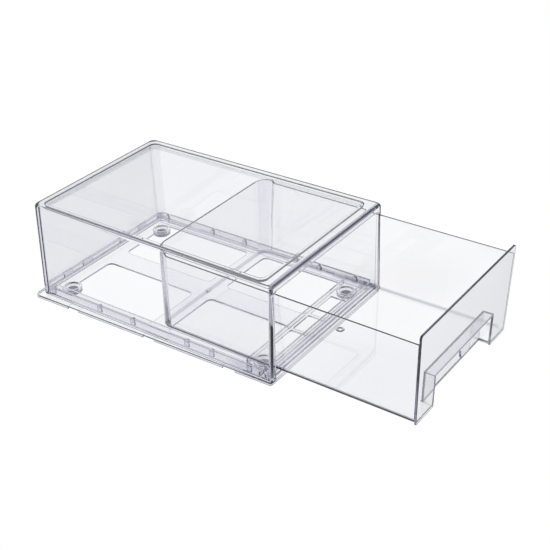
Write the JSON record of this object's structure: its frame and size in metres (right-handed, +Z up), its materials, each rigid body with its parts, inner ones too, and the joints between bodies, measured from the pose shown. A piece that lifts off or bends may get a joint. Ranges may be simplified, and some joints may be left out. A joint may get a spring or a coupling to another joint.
{
  "type": "stackable fridge drawer bin",
  "caption": "Clear plastic storage bin for a fridge: an open-fronted cover on a base frame with rubber pads, and a sliding drawer with a finger pocket in its front.",
  "frame": {"origin": "on the surface the pads stand on, in the middle of the box round the whole part with its drawer half open", "axes": "+Z up, -Y the front where the drawer comes out, +X across the width"},
  "size_m": [0.22, 0.4726, 0.1135],
  "materials": {
    "clear_plastic": "polished, water-clear moulded polystyrene",
    "pad_rubber": "matt grey"
  },
  "bodies": {
    "housing": {"cover_shell": "clear_plastic", "base_frame": "clear_plastic", "foot_pad_front_left": "pad_rubber", "foot_pad_front_right": "pad_rubber", "foot_pad_rear_left": "pad_rubber", "foot_pad_rear_right": "pad_rubber"},
    "drawer": {"drawer_tray": "clear_plastic", "drawer_front": "clear_plastic"}
  },
  "joints": [
    {"name": "drawer_slide", "type": "slide", "parent": "housing", "child": "drawer", "axis": [0, -1, 0], "range_m": [-0.1516, 0.125]}
  ]
}
